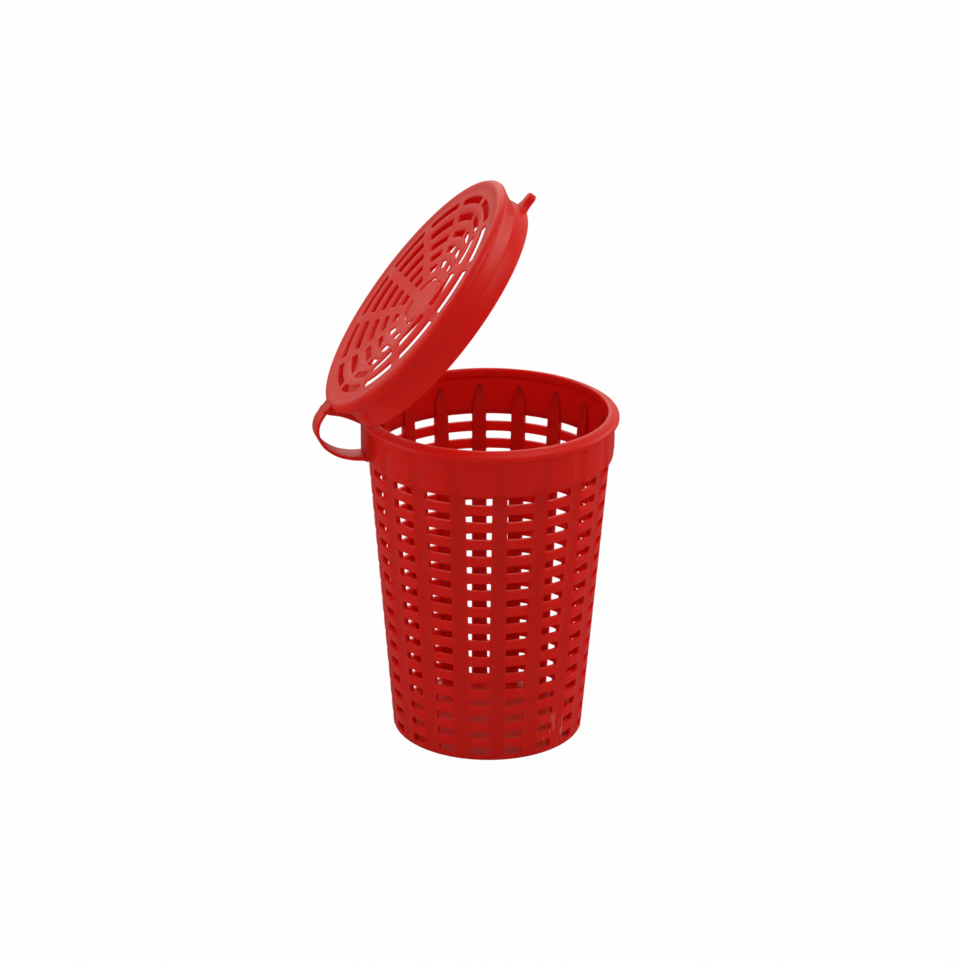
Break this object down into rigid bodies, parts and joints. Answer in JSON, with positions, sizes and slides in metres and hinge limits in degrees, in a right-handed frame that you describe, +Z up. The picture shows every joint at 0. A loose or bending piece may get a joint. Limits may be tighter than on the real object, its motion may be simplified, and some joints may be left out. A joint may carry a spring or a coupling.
{
  "type": "fishing bait box",
  "caption": "Tapered round plastic bait basket with slotted walls, a rolled rim and a dished grille lid on a bending strap.",
  "frame": {"origin": "centre of the basket's underside", "axes": "+Z up along the basket's axis, -X towards the strap, +X towards the lid's thumb tab when the lid is shut"},
  "size_m": [0.1046, 0.0941, 0.1935],
  "materials": {
    "red_plastic": "satin moulded"
  },
  "bodies": {
    "basket": {"floor": "red_plastic", "basket_wall": "red_plastic", "inner_ribs": "red_plastic", "collar_band": "red_plastic", "rim_bead": "red_plastic", "strap_anchor": "red_plastic", "hinge_strap": "red_plastic"},
    "lid": {"lid_grille": "red_plastic", "lid_skirt": "red_plastic", "strap_pad": "red_plastic", "thumb_tab": "red_plastic"}
  },
  "joints": [
    {"name": "lid_hinge", "type": "hinge", "parent": "basket", "child": "lid", "pos_m": [-0.04397, 0.00634, 0.11534], "axis": [-0.1426, -0.9898, 0], "range_deg": [-51, 60], "deforming": ["hinge_strap"]}
  ]
}
